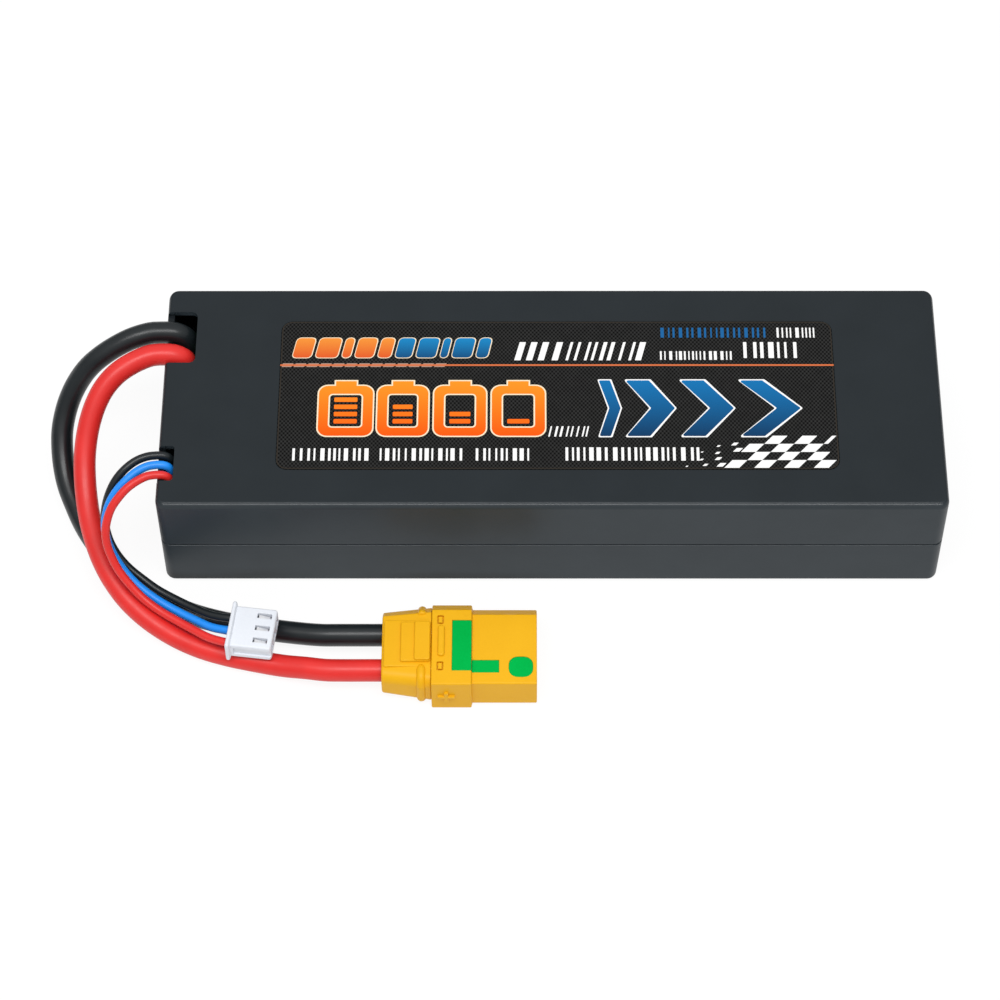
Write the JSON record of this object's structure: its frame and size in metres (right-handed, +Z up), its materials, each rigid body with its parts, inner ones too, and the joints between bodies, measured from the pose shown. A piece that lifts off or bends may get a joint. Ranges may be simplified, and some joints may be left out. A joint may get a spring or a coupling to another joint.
{
  "type": "lipo battery pack",
  "caption": "Hard-case lithium polymer battery pack for a radio-controlled model, with thick leads to a main connector and thin balance leads to a small plug.",
  "frame": {"origin": "centre of the case's flat underside, on the surface it lies on", "axes": "+X along the case, away from the end the leads leave; +Z up from the underside to the label"},
  "size_m": [0.1597, 0.0733, 0.0255],
  "materials": {
    "case_plastic": "fine satin texture",
    "label_film": "gloss film with a printed carbon weave",
    "pouch_film": "satin foil",
    "nickel": "satin plated strip",
    "foam": "matte foam",
    "adhesive": "matte",
    "circuit_board": "satin solder mask",
    "solder": "bright solder",
    "black_silicone": "satin silicone",
    "red_silicone": "satin silicone",
    "blue_silicone": "satin silicone",
    "yellow_nylon": "satin moulding",
    "gold_plate": "bright gold plate",
    "green_nylon": "satin moulding",
    "resistor_black": "matte",
    "white_nylon": "satin moulding",
    "tin_plate": "bright tin plate"
  },
  "bodies": {
    "pack": {"lower_case": "case_plastic", "upper_case": "case_plastic", "top_label": "label_film", "cell_lower": "pouch_film", "cell_upper": "pouch_film", "lower_cell_tab_positive": "nickel", "lower_cell_tab_negative": "nickel", "upper_cell_tab_positive": "nickel", "upper_cell_tab_negative": "nickel", "series_link": "nickel", "foam_pad_bottom": "foam", "foam_pad_top": "foam", "foam_pad_end": "foam", "adhesive_sheet": "adhesive", "terminal_board": "circuit_board", "board_solder_black": "solder", "board_solder_red": "solder", "balance_solder_black": "solder", "balance_solder_blue": "solder", "balance_solder_red": "solder", "cup_solder_negative": "solder", "cup_solder_positive": "solder", "main_lead_black": "black_silicone", "main_tail_black": "black_silicone", "balance_lead_black": "black_silicone", "balance_tail_black": "black_silicone", "main_lead_red": "red_silicone", "main_tail_red": "red_silicone", "balance_lead_red": "red_silicone", "balance_tail_red": "red_silicone", "balance_lead_blue": "blue_silicone", "balance_tail_blue": "blue_silicone", "connector_housing": "yellow_nylon", "contact_negative": "gold_plate", "contact_positive": "gold_plate", "antispark_insert_flange": "green_nylon", "antispark_insert_body": "green_nylon", "antispark_button": "green_nylon", "antispark_ring": "green_nylon", "antispark_resistor": "resistor_black", "balance_plug_housing": "white_nylon", "plug_contact_black": "tin_plate", "plug_contact_blue": "tin_plate", "plug_contact_red": "tin_plate"},
    "sheath": {"connector_sheath": "yellow_nylon"}
  },
  "joints": [
    {"name": "sheath_slide", "type": "slide", "parent": "pack", "child": "sheath", "axis": [-1, 0, 0], "range_m": [0, 0.008]}
  ]
}
